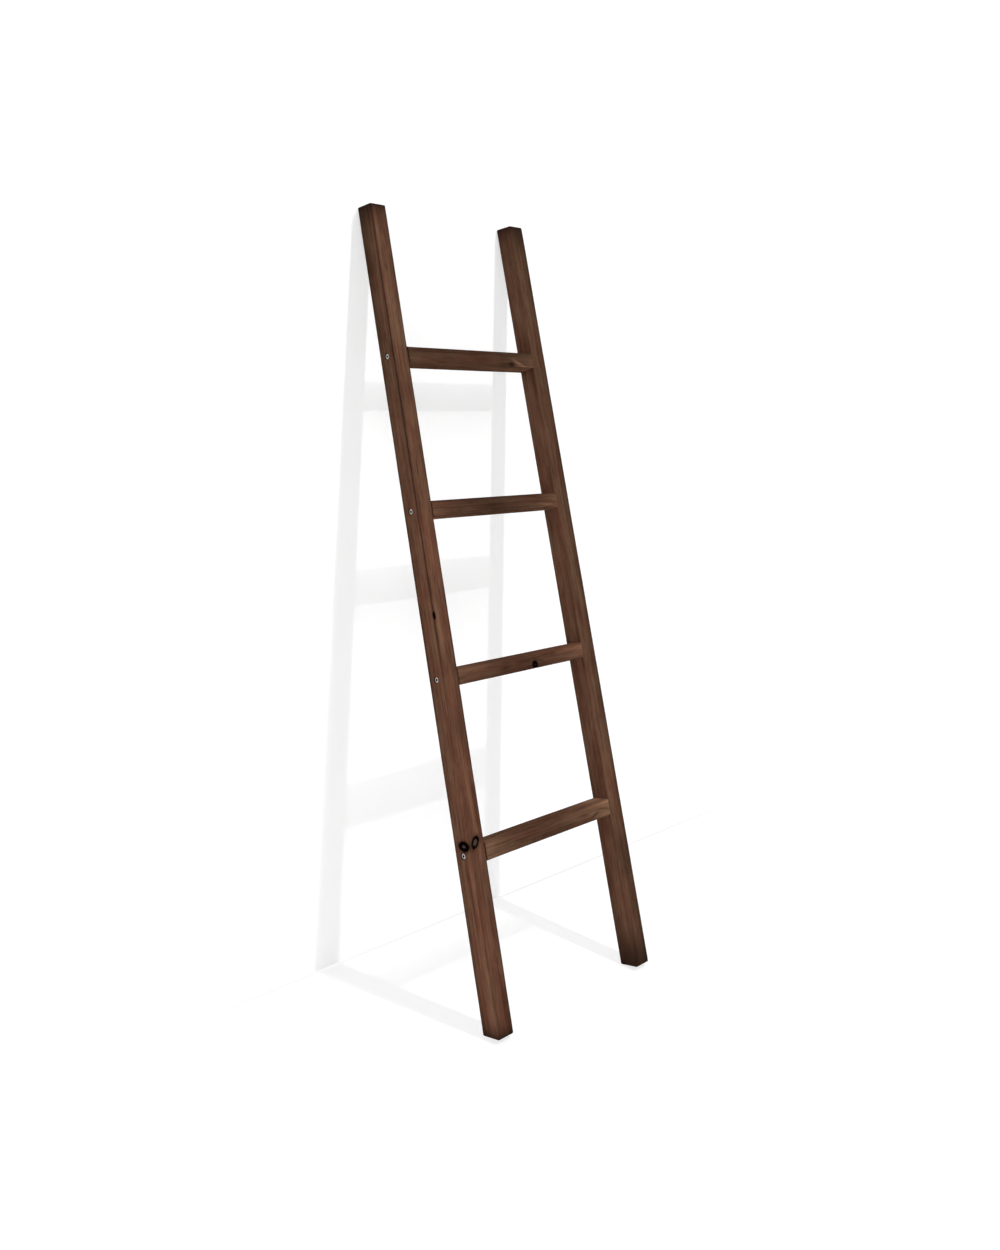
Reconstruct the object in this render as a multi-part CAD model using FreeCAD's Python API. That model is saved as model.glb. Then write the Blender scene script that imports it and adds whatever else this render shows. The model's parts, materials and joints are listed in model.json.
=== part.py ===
import FreeCAD, Part
import math
import os

# Decorative ladder: two rails with four rungs butted between them, each rung end held by
# one socket-head screw through the rail and one dowel beside it. All sizes in millimetres.

# Whole ladder
ladder_width = 400.0        # over the outer faces of both rails
lean_angle = 13.8           # degrees that the rails lean back from upright

# Rails
rail_length = 1500.0        # along the front
rail_width = 36.0           # across the front
rail_depth = 41.0           # front to back
rail_edge_radius = 2.5      # easing along the rail
rail_end_chamfer = 1.5      # bevel round the two sawn ends
top_cut_angle = 9.0         # degrees that the top end is sawn off square, higher at the back

# Rungs: as deep as the rails, so flush with them at the front and back
rung_thickness = 30.5       # measured along the rail
rung_edge_radius = 2.0      # easing along the rung
rung_1_height = 1206.0      # rung axis above the foot, measured along the rail
rung_2_height = 913.0
rung_3_height = 608.0
rung_4_height = 302.0

# Screws
screw_length = 70.0
screw_recess = 1.2          # head below the rail's outer face
screw_head_diameter = 10.0
screw_head_cone = 2.2       # height of the head's cone
screw_shank_diameter = 7.0  # over the thread
screw_tip_length = 5.0
screw_tip_diameter = 3.0
socket_size = 4.0           # hexagon, across flats
socket_depth = 4.0
screw_hole_clearance = 0.15 # all round the shank in the rail
screw_end_clearance = 2.0   # bore left empty past the tip

# Dowels
dowel_diameter = 8.0
dowel_length = 36.0         # half in the rail, half in the rung
dowel_offset = 11.0         # dowel axis behind the screw axis
dowel_end_clearance = 1.0   # empty bore past each end

# Values that follow from the sizes above
rung_heights = (rung_1_height, rung_2_height, rung_3_height, rung_4_height)
half_width = ladder_width / 2.0
top_rise = rail_depth * math.tan(math.radians(top_cut_angle))
inner_face = half_width - rail_width
rung_depth = rail_depth
screw_y = rail_depth / 2.0
dowel_y = screw_y + dowel_offset
head_radius = screw_head_diameter / 2.0
shank_radius = screw_shank_diameter / 2.0
dowel_radius = dowel_diameter / 2.0
sink_slope = (head_radius - shank_radius) / screw_head_cone
sides = (-1, 1)             # left and right


def vec(x, y, z):
    """Short form of a point or direction."""
    return FreeCAD.Vector(x, y, z)


def depth_x(side, depth):
    """The x of a point that lies this deep below a rail's outer face."""
    return side * (half_width - depth)


def turned(side, y, z, profile):
    """A solid turned round a rung axis from (depth below the rail's face, radius) pairs."""
    points = [vec(depth_x(side, d), y + r, z) for d, r in profile]
    wire = Part.makePolygon(points + [points[0]])
    solid = Part.Face(wire).revolve(vec(0, y, z), vec(1, 0, 0), 360)
    if solid.Volume < 0:
        solid.reverse()
    return solid


def post():
    """One rail blank standing on its foot, front at y = 0: eased edges, square foot, sloping top."""
    back_top = vec(0, rail_depth, rail_length + top_rise)
    side_view = [vec(0, 0, 0), vec(0, rail_depth, 0), back_top, vec(0, 0, rail_length), vec(0, 0, 0)]
    blank = Part.Face(Part.makePolygon(side_view)).extrude(vec(rail_width, 0, 0))
    middle = rail_length / 2.0
    ends = [f for f in blank.Faces if abs(f.CenterOfMass.z - middle) > middle / 2.0]
    blank = blank.makeChamfer(rail_end_chamfer, [e for f in ends for e in f.Edges])
    long_edges = [e for e in blank.Edges if e.BoundBox.ZLength > middle]
    return blank.makeFillet(rail_edge_radius, long_edges)


def screw_body(side, z):
    """A screw without its socket: coned head, shank and blunt tip."""
    neck = screw_recess + screw_head_cone
    end = screw_recess + screw_length
    profile = [(screw_recess, 0.0), (screw_recess, head_radius), (neck, shank_radius)]
    profile += [(end - screw_tip_length, shank_radius), (end, screw_tip_diameter / 2.0), (end, 0.0)]
    return turned(side, screw_y, z, profile)


def socket(side, z):
    """The hexagonal recess in a screw head."""
    corner = socket_size / math.sqrt(3.0)
    x = depth_x(side, screw_recess)
    ring = []
    for i in range(7):
        a = math.radians(60.0 * i)
        ring.append(vec(x, screw_y + corner * math.sin(a), z + corner * math.cos(a)))
    return Part.Face(Part.makePolygon(ring)).extrude(vec(-side * socket_depth, 0, 0))


def screw(side, z):
    """A whole screw in its place."""
    return screw_body(side, z).cut(socket(side, z))


def rail_screw_bore(side, z):
    """Clear bore through a rail, with a countersink that seats the head's cone."""
    bore_radius = shank_radius + screw_hole_clearance
    cone_end = screw_recess + screw_head_cone - screw_hole_clearance / sink_slope
    outer = -rail_edge_radius
    mouth = head_radius + (screw_recess - outer) * sink_slope
    past = rail_width + rail_edge_radius
    profile = [(outer, 0.0), (outer, mouth), (cone_end, bore_radius), (past, bore_radius), (past, 0.0)]
    return turned(side, screw_y, z, profile)


def rung_screw_bore(side, z):
    """The bore that a screw fills in a rung's end, with a short empty end past the tip."""
    end = screw_recess + screw_length + screw_end_clearance
    profile = [(0.0, 0.0), (0.0, shank_radius), (end, shank_radius), (end, 0.0)]
    return turned(side, screw_y, z, profile)


def dowel(side, z):
    """A dowel, centred on the joint between rail and rung."""
    a = rail_width - dowel_length / 2.0
    b = rail_width + dowel_length / 2.0
    return turned(side, dowel_y, z, [(a, 0.0), (a, dowel_radius), (b, dowel_radius), (b, 0.0)])


def dowel_bore(side, z):
    """The bore for a dowel, in the rail and in the rung."""
    reach = dowel_length / 2.0 + dowel_end_clearance
    a = rail_width - reach
    b = rail_width + reach
    return turned(side, dowel_y, z, [(a, 0.0), (a, dowel_radius), (b, dowel_radius), (b, 0.0)])


def rail(side):
    """A rail with its countersunk screw bores and blind dowel bores."""
    shape = post()
    shape.translate(vec(min(side * half_width, side * inner_face), 0, 0))
    for z in rung_heights:
        shape = shape.cut(rail_screw_bore(side, z))
        shape = shape.cut(dowel_bore(side, z))
    return shape


def rung(z):
    """A rung between the rails, bored at both ends."""
    length = 2.0 * inner_face
    box = Part.makeBox(length, rung_depth, rung_thickness)
    box.translate(vec(-inner_face, 0, z - rung_thickness / 2.0))
    edges = [e for e in box.Edges if abs(e.BoundBox.XLength - length) < 1e-6]
    shape = box.makeFillet(rung_edge_radius, edges)
    for side in sides:
        shape = shape.cut(rung_screw_bore(side, z))
        shape = shape.cut(dowel_bore(side, z))
    return shape


def lean(shape):
    """Lean a shape back, with the feet on the floor and the origin under the middle of the whole."""
    s = math.sin(math.radians(lean_angle))
    c = math.cos(math.radians(lean_angle))
    bevel = rail_end_chamfer
    front = bevel * min(s, c)
    back = rail_depth * c + (rail_length + top_rise) * s - front
    lift = rail_depth * s - front
    out = shape.copy()
    out.rotate(vec(0, 0, 0), vec(1, 0, 0), -lean_angle)
    out.translate(vec(0, -(front + back) / 2.0, lift))
    return out


def whole(shape):
    """The single solid that a cut piece consists of."""
    solids = shape.Solids
    if len(solids) != 1:
        raise ValueError("a piece came out as %d solids" % len(solids))
    return solids[0]


def save(name, solids):
    """Write one node: one solid, or a group of separate ones."""
    placed = [lean(whole(s)) for s in solids]
    shape = placed[0] if len(placed) == 1 else Part.makeCompound(placed)
    shape.exportStep("parts/%s.step" % name)


os.makedirs("parts", exist_ok=True)
for name, side in zip(("left_rail", "right_rail"), sides):
    save(name, [rail(side)])
for number, height in enumerate(rung_heights, 1):
    save("rung_%d" % number, [rung(height)])
joints = [(side, z) for side in sides for z in rung_heights]
save("screws", [screw(side, z) for side, z in joints])
save("dowels", [dowel(side, z) for side, z in joints])
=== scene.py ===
import json
import math

import bmesh
import bpy
import numpy as np
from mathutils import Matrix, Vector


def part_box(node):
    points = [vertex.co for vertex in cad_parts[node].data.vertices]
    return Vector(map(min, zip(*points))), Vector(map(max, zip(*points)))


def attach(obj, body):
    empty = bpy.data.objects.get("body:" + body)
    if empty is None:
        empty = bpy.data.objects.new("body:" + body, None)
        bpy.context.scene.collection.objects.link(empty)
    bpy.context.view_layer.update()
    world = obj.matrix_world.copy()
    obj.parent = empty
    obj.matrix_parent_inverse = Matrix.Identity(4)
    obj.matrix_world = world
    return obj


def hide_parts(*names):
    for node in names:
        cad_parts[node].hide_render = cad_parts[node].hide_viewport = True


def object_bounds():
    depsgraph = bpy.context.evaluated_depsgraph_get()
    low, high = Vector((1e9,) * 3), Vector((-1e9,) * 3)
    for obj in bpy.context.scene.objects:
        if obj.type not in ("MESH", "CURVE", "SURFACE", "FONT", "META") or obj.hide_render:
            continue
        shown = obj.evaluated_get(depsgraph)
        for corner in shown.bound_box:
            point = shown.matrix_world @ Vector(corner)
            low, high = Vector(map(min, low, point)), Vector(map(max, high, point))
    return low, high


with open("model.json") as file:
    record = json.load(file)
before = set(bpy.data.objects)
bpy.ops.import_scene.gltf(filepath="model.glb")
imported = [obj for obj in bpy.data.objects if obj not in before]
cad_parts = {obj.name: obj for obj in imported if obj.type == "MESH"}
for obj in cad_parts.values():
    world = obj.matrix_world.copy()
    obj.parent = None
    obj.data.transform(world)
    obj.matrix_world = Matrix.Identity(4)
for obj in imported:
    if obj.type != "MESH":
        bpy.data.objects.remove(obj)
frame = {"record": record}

# A leaning ladder of dark stained pine. Lengths are metres. The ladder's own frame has x along the
# rungs, y from the rails' front to their back and z up the rails from the foot.

cad_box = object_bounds()
record = frame["record"]
MM = 0.001

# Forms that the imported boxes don't give
END_BEVEL = 1.5 * MM
TOP_CUT = math.radians(9.0)
RAIL_EASING = 2.5 * MM
RUNG_EASING = 2.0 * MM
SCREW_RECESS = 1.2 * MM
SCREW_HEAD_RADIUS = 5.0 * MM
SCREW_CONE = 2.2 * MM
SCREW_RADIUS = 3.5 * MM
SCREW_CORE = 2.6 * MM
SCREW_LENGTH = 70.0 * MM
SCREW_TIP = 5.0 * MM
SCREW_TIP_RADIUS = 1.5 * MM
SCREW_PITCH = 3.0 * MM
SCREW_PLAY = 0.15 * MM
SCREW_END_GAP = 2.0 * MM
SOCKET_FLATS = 4.0 * MM
SOCKET_DEPTH = 4.0 * MM
DOWEL_RADIUS = 4.0 * MM
DOWEL_LENGTH = 36.0 * MM
DOWEL_OFFSET = 11.0 * MM
DOWEL_CHAMFER = 1.0 * MM
DOWEL_END_GAP = 1.0 * MM
FLUTES = 12

# Camera, read from the photograph: its picture is 1000 by 1250 pixels
PICTURE_WIDTH = 1000.0
PICTURE_HEIGHT = 1250.0
FOCAL_PIXELS = 1032.5
AXIS_PIXEL_X = 440.0
AXIS_PIXEL_Y = 475.0
CAMERA_PLACE = (-1.3673, -1.4282, 1.0596)
CAMERA_HEADING = 40.169
CAMERA_TILT = -3.096


def ladder_sizes():
    """Rail length along its front, depth and lean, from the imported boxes.

    With lean a, top sawn k off square and bevel e, a rail of length l and depth d is
    l cos a + d sin a - e (sin a + sin (a - k)) tall and
    l sin a + d (cos a + tan k sin a) - 2 e sin a deep; the two equations give l and d.
    """
    axis = record["mounts"][0]["axis"]
    s, c = -axis[1], -axis[2]
    low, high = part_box("left_rail")
    size = np.array(high) - np.array(low)
    tall = size[2] + END_BEVEL * (s + math.sin(math.asin(s) - TOP_CUT))
    deep = size[1] + END_BEVEL * 2.0 * s
    length, depth = np.linalg.solve([[c, s], [s, c + math.tan(TOP_CUT) * s]], [tall, deep])
    origin = np.array([0.0, low[1] - END_BEVEL * s, (depth - END_BEVEL) * s])
    return s, c, length, depth, size[0], origin


LEAN_SIN, LEAN_COS, RAIL_LENGTH, RAIL_DEPTH, RAIL_WIDTH, ORIGIN = ladder_sizes()
HALF_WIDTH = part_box("right_rail")[1][0]
INNER = HALF_WIDTH - RAIL_WIDTH
SCREW_Y = RAIL_DEPTH / 2.0
DOWEL_Y = SCREW_Y + DOWEL_OFFSET
RUNGS = ("rung_1", "rung_2", "rung_3", "rung_4")


def rung_place(name):
    """Height of a rung's axis up the rail, and its thickness, from its box."""
    low, high = (np.array(v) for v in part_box(name))
    middle = (low + high) / 2.0 - ORIGIN
    height = middle[1] * LEAN_SIN + middle[2] * LEAN_COS
    flat = (high - low)[2] - 2.0 * RUNG_EASING - (RAIL_DEPTH - 2.0 * RUNG_EASING) * LEAN_SIN
    return height, flat / LEAN_COS + 2.0 * RUNG_EASING


RUNG_HEIGHTS = np.array([rung_place(n)[0] for n in RUNGS])
RUNG_THICKNESS = rung_place("rung_1")[1]


def to_room(points):
    """Ladder frame to room frame: turn about x by the lean, then move to the foot's place."""
    x, y, z = points.T
    turned = np.stack([x, y * LEAN_COS + z * LEAN_SIN, z * LEAN_COS - y * LEAN_SIN], 1)
    return turned + ORIGIN


class Shell:
    """A closed skin that is put together from grids, rings and fans of shared points."""

    def __init__(self):
        self.points, self.normals, self.weights = [], [], []
        self.quads, self.triangles = [], []
        self.count = 0

    def add(self, points, normals, weight):
        """Store points, give their indices. The weight is 1 on open skin and 0 inside bores."""
        points = np.asarray(points, float)
        shape = points.shape[:-1]
        self.points.append(points.reshape(-1, 3))
        self.normals.append(np.broadcast_to(normals, points.shape).reshape(-1, 3))
        self.weights.append(np.broadcast_to(weight, shape).ravel())
        ids = np.arange(self.count, self.count + int(np.prod(shape))).reshape(shape)
        self.count += ids.size
        return ids

    def grid(self, ids, keep=None):
        """Faces of a grid of indices; keep marks the cells that stay."""
        a, b, c, d = ids[:-1, :-1], ids[:-1, 1:], ids[1:, 1:], ids[1:, :-1]
        cells = np.stack([a, b, c, d], -1)
        self.quads.append(cells[keep] if keep is not None else cells.reshape(-1, 4))

    def ring(self, first, second):
        """Faces between two closed loops of equal count; gives the second loop."""
        self.quads.append(np.stack([first, np.roll(first, -1), np.roll(second, -1), second], 1))
        return second

    def fan(self, loop, tip):
        """Faces from a closed loop to one point."""
        self.triangles.append(np.stack([loop, np.roll(loop, -1), np.full_like(loop, tip)], 1))

    def arrays(self):
        """All points, normals, weights and faces."""
        return (np.concatenate(self.points), np.concatenate(self.normals),
                np.concatenate(self.weights), self.quads, self.triangles)


# Corners of a board's section. Its sides run from each to the next: a rail's are 0 front, 1 right, 2 back
# and 3 left. Then the axes in the plane of its right and left sides and of its ends
CORNERS = np.array([(-1, -1), (1, -1), (1, 1), (-1, 1)], float)
SIDE_AXES = np.eye(3)[1:]
END_AXES = np.eye(3)[:2]


def rounded_section(width, depth, cells_w, cells_d, half_arc):
    """Rounded rectangle round the grain, as place = base + radius * push, with outward normals.

    Each side runs from the middle of one corner's quarter arc to the middle of the next: half an
    arc, a flat stretch in equal cells, half an arc. On an arc the push is the unit direction less
    the corner's signs; along a flat both base and push go evenly from end to end.
    """
    half = np.array([width, depth]) / 2.0
    eighth = math.pi / 4.0
    turn = np.linspace(0.0, eighth, half_arc + 1)[:-1]
    base, push, normal = [], [], []
    for k, cells in enumerate((cells_w, cells_d, cells_w, cells_d)):
        start, stop = CORNERS[k], CORNERS[(k + 1) % 4]
        middle = math.atan2(start[1], start[0])
        t = np.linspace(0.0, 1.0, cells + 1)[:-1, None]
        leave = np.stack([np.cos(middle + turn), np.sin(middle + turn)], 1)
        arrive = np.stack([np.cos(middle + eighth + turn), np.sin(middle + eighth + turn)], 1)
        face = np.array([math.cos(middle + eighth), math.sin(middle + eighth)])
        base += [np.tile(start * half, (half_arc, 1)), (1 - t) * start * half + t * stop * half,
                 np.tile(stop * half, (half_arc, 1))]
        push += [leave - start, (1 - t) * (face - start) + t * (face - stop), arrive - stop]
        normal += [leave, np.tile(face, (cells, 1)), arrive]
    return np.concatenate(base), np.concatenate(push), np.concatenate(normal)


def block_loop(ids, rows, columns):
    """The indices round a block of grid cells, in order."""
    (r0, r1), (c0, c1) = rows, columns
    return np.concatenate([ids[r0, c0:c1], ids[r0:r1, c1], ids[r1, c1:c0:-1], ids[r1:r0:-1, c0]])


# A bore's mouth: the angle where its loops start, and the steps from the removed block to the circle
LOOP_START = -0.75 * math.pi
MOUTH_STEPS = (0.35, 0.7, 1.0)


def open_bore(shell, loop, centre, axes, normal, steps):
    """Open a round hole in a removed block of cells and carry it inwards.

    Rings blend from the block's outline to a circle: place = (1 - t) outline + t circle, at the
    outline's own angles. Each later step is a circle of its own radius at its own depth below the
    face. Loops are put in one turning sense, so that two ends of a bore meet point to point.
    """
    points = np.concatenate(shell.points)
    flat = (points[loop] - centre) @ axes.T
    angle = np.arctan2(flat[:, 1], flat[:, 0])
    if np.sum(np.diff(np.unwrap(angle))) < 0:
        loop, angle, flat = loop[::-1], angle[::-1], flat[::-1]
    first = int(np.argmin(np.abs(angle - LOOP_START)))
    loop, angle, flat = (np.roll(v, -first, axis=0) for v in (loop, angle, flat))
    unit = np.stack([np.cos(angle), np.sin(angle)], 1)
    for t in MOUTH_STEPS:
        ring = (1 - t) * flat + t * steps[0][0] * unit
        loop = shell.ring(loop, shell.add(centre + ring @ axes, normal, 1.0 - t))
    for radius, depth in steps[1:]:
        place = centre + radius * unit @ axes - depth * np.asarray(normal)
        loop = shell.ring(loop, shell.add(place, unit @ axes, 0.0))
    return loop


def close_bore(shell, loop, weight=0.0):
    """Close a blind bore with a flat bottom."""
    points = np.concatenate(shell.points)[loop]
    tip = shell.add(points.mean(0)[None], (0.0, 0.0, 0.0), weight)
    shell.fan(loop, tip[0])


def stations(length, fine, spacing):
    """Places along a board: even steps, with finer even steps inside the given spans."""
    marks, steps = [0.0], []
    for low, high, cells in sorted(fine):
        steps += [max(1, round((low - marks[-1]) / spacing)), cells]
        marks += [low, high]
    steps.append(max(1, round((length - marks[-1]) / spacing)))
    marks.append(length)
    parts = [np.linspace(a, b, n + 1)[:-1] for a, b, n in zip(marks[:-1], marks[1:], steps)]
    return np.concatenate(parts + [[length]])


def wander(places, seed, waves):
    """Slow unevenness along the grain: a few sines of seeded length and phase, about -1 to 1."""
    rng = np.random.default_rng(seed)
    total = np.zeros_like(places)
    for length in waves:
        total += np.sin(2.0 * math.pi * (places / length + rng.random())) * rng.uniform(0.6, 1.0)
    return total / len(waves)


# Size of a mesh cell across a flat, and cells of half an arris
CELL = 1.5 * MM
HALF_ARC = 3

# Share by which an arris's easing wanders along the grain, and the lengths of its waves
EASING_WANDER = 0.16
EASING_WAVES = (0.41, 0.23, 0.09)


def cell_count(span, odd):
    """Cells across a flat: an odd count for a bore centred on a cell, else an even one."""
    count = round(span / CELL)
    return count + (count % 2 == 0) if odd else count + count % 2


def board(width, depth, along, easing, bevel, seed, side_bores=(), end_bores=()):
    """A board as a rounded section carried along the grain, with eased arrises and bored holes.

    The easing radius of each arris wanders a little along the board, as hand sanding leaves it.
    Side bores are (face, along, across, rows, columns, steps, name): two of one name meet inside the
    board, and one without a name has a flat bottom. End bores are (end, place, rows, columns, steps).
    """
    shell = Shell()
    cells_w = cell_count(width - 2.0 * easing, bool(end_bores))
    cells_d = cell_count(depth - 2.0 * easing, bool(end_bores))
    base, push, normal = rounded_section(width, depth, cells_w, cells_d, HALF_ARC)
    sides = (cells_w + 2 * HALF_ARC, cells_d + 2 * HALF_ARC)
    count = len(base)
    starts = np.cumsum([0, *sides, sides[0]])
    halves = [np.repeat([k, (k + 1) % 4], [n // 2, n - n // 2]) for k, n in enumerate(sides + sides)]
    corner = np.concatenate(halves)
    uneven = [EASING_WANDER * wander(along, seed + k, EASING_WAVES) for k in range(4)]
    radius = easing * (1.0 + np.stack(uneven, 1))
    place = base[None] + radius[:, corner][:, :, None] * push[None]
    tube = np.concatenate([place, np.broadcast_to(along[:, None, None], place.shape[:2] + (1,))], 2)
    flat_normal = np.concatenate([normal, np.zeros((count, 1))], 1)
    skin = shell.add(tube, flat_normal[None], 1.0)
    wrap = np.concatenate([skin, skin[:, :1]], 1)
    keep = np.ones((len(along) - 1, count), bool)
    open_ends = {}
    for face, middle, across, rows, columns, steps, name in side_bores:
        sign = 1.0 if face == 1 else -1.0
        row = int(np.argmin(np.abs(along - middle)))
        cell = int(round((sign * across / (depth - 2.0 * easing) + 0.5) * cells_d))
        column = starts[face] + HALF_ARC + cell
        span_r = (row - rows, row + rows)
        span_c = (column - columns[0], column + columns[1])
        keep[span_r[0]:span_r[1], span_c[0]:span_c[1]] = False
        centre = np.array([sign * width / 2.0, across, middle])
        loop = block_loop(wrap, span_r, span_c)
        end = open_bore(shell, loop, centre, SIDE_AXES, (sign, 0.0, 0.0), steps)
        if name in open_ends:
            shell.ring(open_ends.pop(name), end)
        elif name:
            open_ends[name] = end
        else:
            close_bore(shell, end)
    shell.grid(wrap, keep)
    for end in (0, 1):
        edge = wrap[-end][:-1]
        out = np.array([0.0, 0.0, 1.0 if end else -1.0])
        if bevel:
            raised = tube[-end] - bevel * flat_normal + bevel * out
            edge = shell.ring(edge, shell.add(raised, out, 1.0))
        close_end(shell, edge, sides, out, [b for b in end_bores if b[0] == end])
    return shell.arrays()


def close_end(shell, edge, sides, out, bores):
    """Close a board's end with a Coons patch: the sum of the two ruled surfaces between opposite
    edges, less the bilinear surface through the four corners."""
    points = np.concatenate(shell.points)
    across, up = sides
    loop = np.append(edge, edge[0])
    bottom, right = loop[:across + 1], loop[across:across + up + 1]
    top, left = loop[across + up:2 * across + up + 1][::-1], loop[2 * across + up:][::-1]
    s = np.linspace(0, 1, across + 1)[None, :, None]
    t = np.linspace(0, 1, up + 1)[:, None, None]
    low, high = points[bottom][None], points[top][None]
    near, far = points[left][:, None], points[right][:, None]
    low_chord = (1 - s) * low[:, :1] + s * low[:, -1:]
    high_chord = (1 - s) * high[:, :1] + s * high[:, -1:]
    patch = (1 - t) * low + t * high + (1 - s) * near + s * far - ((1 - t) * low_chord + t * high_chord)
    ids = np.empty((up + 1, across + 1), int)
    ids[0], ids[-1], ids[:, 0], ids[:, -1] = bottom, top, left, right
    ids[1:-1, 1:-1] = shell.add(patch[1:-1, 1:-1], out, 1.0)
    keep = np.ones((up, across), bool)
    for _, place, rows, columns, steps in bores:
        keep[rows[0]:rows[1], columns[0]:columns[1]] = False
        centre = np.array([place[0], place[1], points[edge[0]][2]])
        close_bore(shell, open_bore(shell, block_loop(ids, rows, columns), centre, END_AXES, out, steps))
    shell.grid(ids, keep)


def on_front(node, x, z, along, across, tilt, value):
    """A mark on a board's front: its centre, its half sizes along and across the rails, in millimetres,
    the tilt of its length in degrees, and a value."""
    return node, (x * MM, 0.0, z * MM), (along * MM, across * MM), tilt, value, "y"


def on_outside(y, z, along, across, tilt, value):
    """A mark on the left rail's outer face, given in the same way."""
    return "left_rail", (-HALF_WIDTH, y * MM, z * MM), (along * MM, across * MM), tilt, value, "x"


# Knots; the value is the share of the size that is pale heart
KNOTS = (
    on_outside(14.2, 319.0, 8.8, 14.0, 0.0, 0.24),
    on_front("left_rail", -184.6, 323.6, 11.4, 7.6, 36.0, 0.46),
    on_front("left_rail", -198.4, 721.3, 7.0, 3.0, 0.0, 0.0),
    on_front("rung_3", 28.5, 600.1, 7.0, 7.0, 0.0, 0.05),
)

# Soft streaks in the stain; the value is the depth, and below 0 the streak is paler
STREAKS = (
    on_outside(17.0, 309.0, 5.0, 8.0, 0.0, 0.50),
    on_outside(14.0, 245.0, 55.0, 2.6, 3.0, 0.42),
    on_outside(18.0, 355.0, 26.0, 2.4, -3.0, 0.40),
    on_outside(5.0, 225.0, 60.0, 3.0, 1.0, -0.14),
    on_front("left_rail", -185.0, 360.0, 22.0, 2.2, 0.0, 0.22),
    on_front("left_rail", -182.0, 515.0, 60.0, 14.0, 0.0, 0.14),
    on_front("left_rail", -182.0, 1315.0, 75.0, 14.0, 0.0, 0.10),
    on_front("right_rail", 182.0, 510.0, 60.0, 14.0, 0.0, -0.16),
    on_front("right_rail", 182.0, 210.0, 60.0, 14.0, 0.0, 0.24),
    on_front("left_rail", -184.0, 243.0, 34.0, 2.2, 2.0, 0.30),
    on_front("right_rail", 182.0, 375.0, 55.0, 14.0, 0.0, -0.60),
    on_front("rung_1", 102.0, 1195.0, 6.0, 8.0, 0.0, 0.85),
    on_front("rung_1", 84.0, 1194.0, 4.0, 16.0, 0.0, 0.35),
    on_front("rung_1", 122.0, 1198.0, 2.6, 15.0, 24.0, -1.30),
    on_front("rung_1", 126.0, 1192.6, 1.7, 36.0, 0.0, -0.60),
    on_front("rung_1", 112.0, 1206.0, 3.0, 8.0, 10.0, -0.30),
    on_front("rung_2", -8.0, 914.0, 8.0, 30.0, 0.0, 0.15),
    on_front("rung_2", 136.0, 905.0, 1.8, 20.0, 6.0, -0.65),
    on_front("rung_2", 130.0, 899.0, 1.8, 22.0, -6.0, 0.45),
    on_front("rung_3", -46.0, 606.0, 7.0, 16.0, 0.0, 0.28),
    on_front("rung_3", 44.0, 606.0, 2.2, 14.0, 14.0, 0.30),
    on_front("rung_4", 122.0, 297.0, 1.8, 14.0, -20.0, 0.75),
    on_front("rung_4", 148.0, 302.5, 1.8, 16.0, 8.0, 0.65),
)

# Stain in the wood, as the share of red light that it gives back. Rails: at the foot, halfway and at the
# top, of the front and of the sides; on the left rail the sides' fall towards the top is painted shade, for
# side
# light that is stronger low down. Rungs: at the left end, in the middle and at the right end. Then how much
# paler the rungs are below: painted light against the shade on their undersides
RAIL_STAIN_AND_SHADE = {"left_rail": ((0.116, 0.136, 0.134), (0.152, 0.131, 0.083)),
              "right_rail": ((0.103, 0.094, 0.084), (0.110, 0.133, 0.114))}
RUNG_STAIN = {"rung_1": (0.090, 0.069, 0.096), "rung_2": (0.130, 0.062, 0.128),
              "rung_3": (0.138, 0.083, 0.162), "rung_4": (0.173, 0.087, 0.224)}
RUNG_UNDERSIDE_PAINTED_LIGHT = 1.55

# Painted shade and painted light across each face, as shares of the stain at five even steps. Rails: the
# front from left to right, then the sides from front to back. Rungs: the front from below to above
RAIL_PAINTED_SHADING = {"left_rail": ((0.82, 1.07, 1.08, 0.85, 0.70), (1.30, 1.10, 1.04, 0.84, 0.68)),
            "right_rail": ((1.11, 1.10, 1.08, 0.83, 0.65), (0.77, 1.08, 0.98, 0.92, 0.86))}
RUNG_PAINTED_SHADING = {"rung_1": (0.94, 1.02, 1.03, 0.86, 0.93), "rung_2": (0.98, 0.95, 0.95, 0.95, 0.98),
            "rung_3": (0.80, 0.87, 0.97, 1.22, 0.76), "rung_4": (0.80, 0.86, 1.00, 1.10, 1.10)}
NO_PAINTED_SHADING = (1.0, 1.0, 1.0, 1.0, 1.0)

# Lean of the colour from red brown towards tan, at the places of the stain; a rung's tones go from its
# middle to its ends with this power of the distance
RAIL_TAN = {"left_rail": ((-0.15, 0.20, 0.35), (0.05, 0.22, 0.48)),
            "right_rail": ((0.46, 0.44, 0.58), (0.28, 0.18, 0.30))}
RUNG_TAN = {"rung_1": (0.42, 0.28, 0.85), "rung_2": (0.32, 0.42, 0.48),
            "rung_3": (0.25, 0.22, 0.35), "rung_4": (0.75, 0.36, 0.75)}
RUNG_TONE_POWER = 2.2

# Darkness of each arris. Rails: left front, right front, right back, left back. Rungs: front below, back
# below, back above, front above
RAIL_ARRIS = {"left_rail": (0.96, 0.66, 0.60, 0.66), "right_rail": (0.05, 0.66, 0.60, 0.66)}
RUNG_ARRIS = {"rung_1": (0.05, 0.40, 0.45, 0.65), "rung_2": (0.35, 0.45, 0.60, 0.60),
              "rung_3": (0.60, 0.45, 0.35, 0.20), "rung_4": (0.40, 0.45, 0.70, 0.15)}
ARRIS_REACH = 2.3 * MM

# The left rail's front arrises: the outer one pales from a height down to its least share, and the inner
# one pales beside each rung, over a share of the rung's thickness
PALE_BELOW = 700.0 * MM
PALE_SPAN = 300.0 * MM
PALE_LEAST = 0.12
JOINT_SPAN = 0.45
JOINT_PALING = 0.8
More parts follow.
